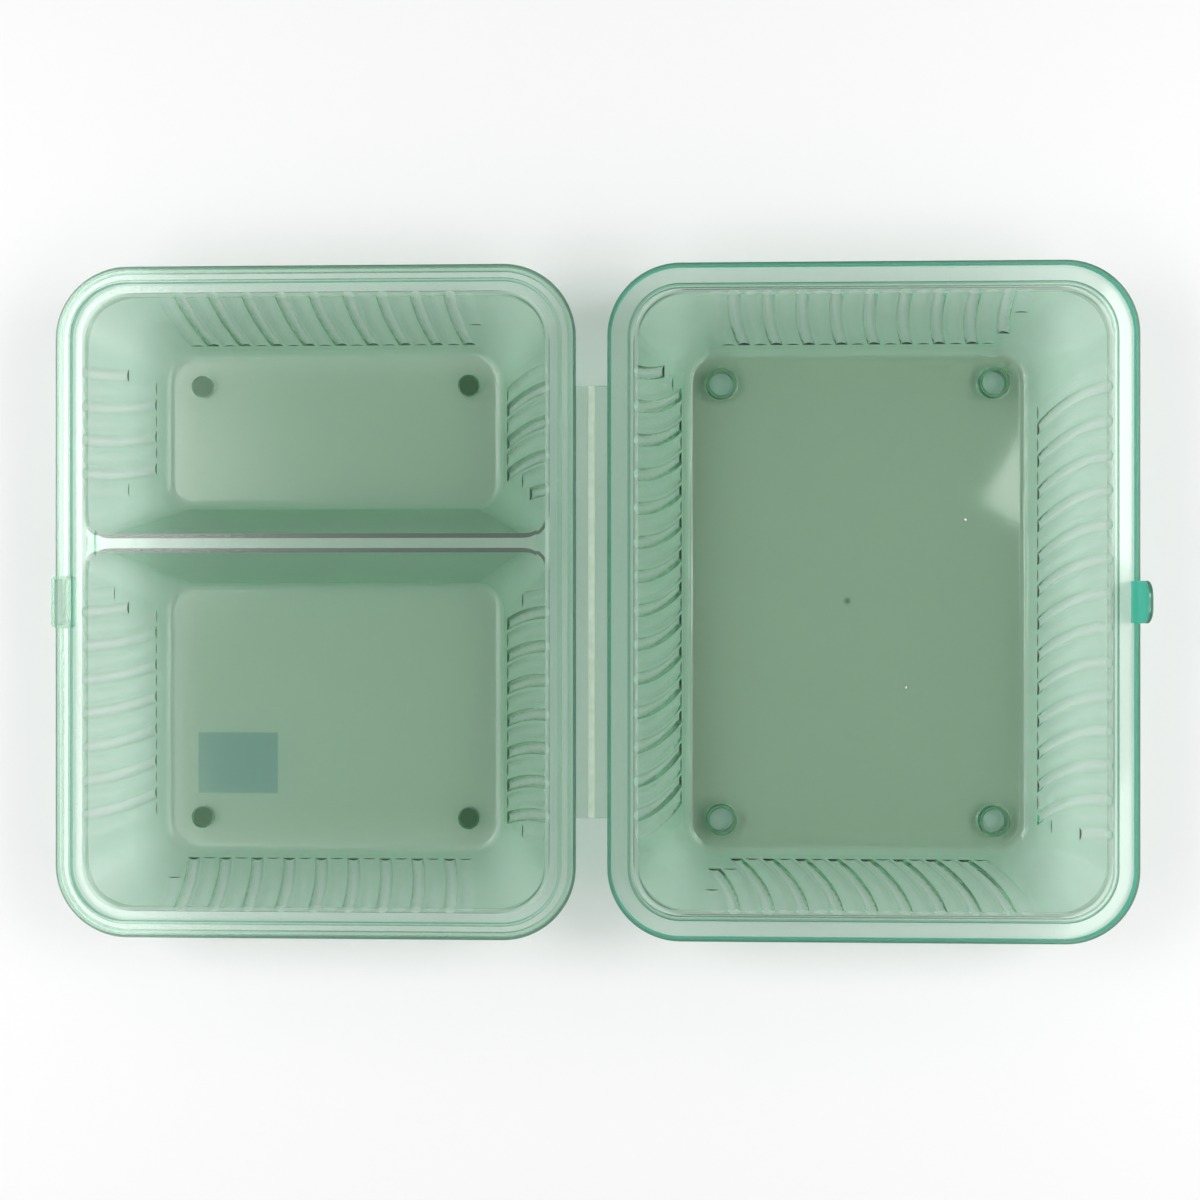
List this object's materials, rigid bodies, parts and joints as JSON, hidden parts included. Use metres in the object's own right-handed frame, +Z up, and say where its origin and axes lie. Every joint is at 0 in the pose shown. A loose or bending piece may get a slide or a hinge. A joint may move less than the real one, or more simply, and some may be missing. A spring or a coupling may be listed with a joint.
{
  "type": "takeout container",
  "caption": "Hinged clamshell food container lying opened flat: a fluted base tray with a divider and a catch loop, and a fluted lid tray with a latch tab.",
  "frame": {"origin": "middle of the opened container's footprint, on the surface that it lies on", "axes": "+X from the base across the hinge to the lid, +Y along the hinge towards the small compartment, +Z up out of the trays"},
  "size_m": [0.4086, 0.254, 0.0515],
  "materials": {
    "base_plastic": "translucent pale green, fine grain inside",
    "lid_plastic": "translucent pale green, smooth"
  },
  "bodies": {
    "base": {"base": "base_plastic"},
    "lid": {"lid": "lid_plastic"}
  },
  "joints": [
    {"name": "lid_hinge", "type": "hinge", "parent": "base", "child": "lid", "pos_m": [0.0009, 0, 0.038], "axis": [0, -1, 0], "range_deg": [0, 180]}
  ]
}
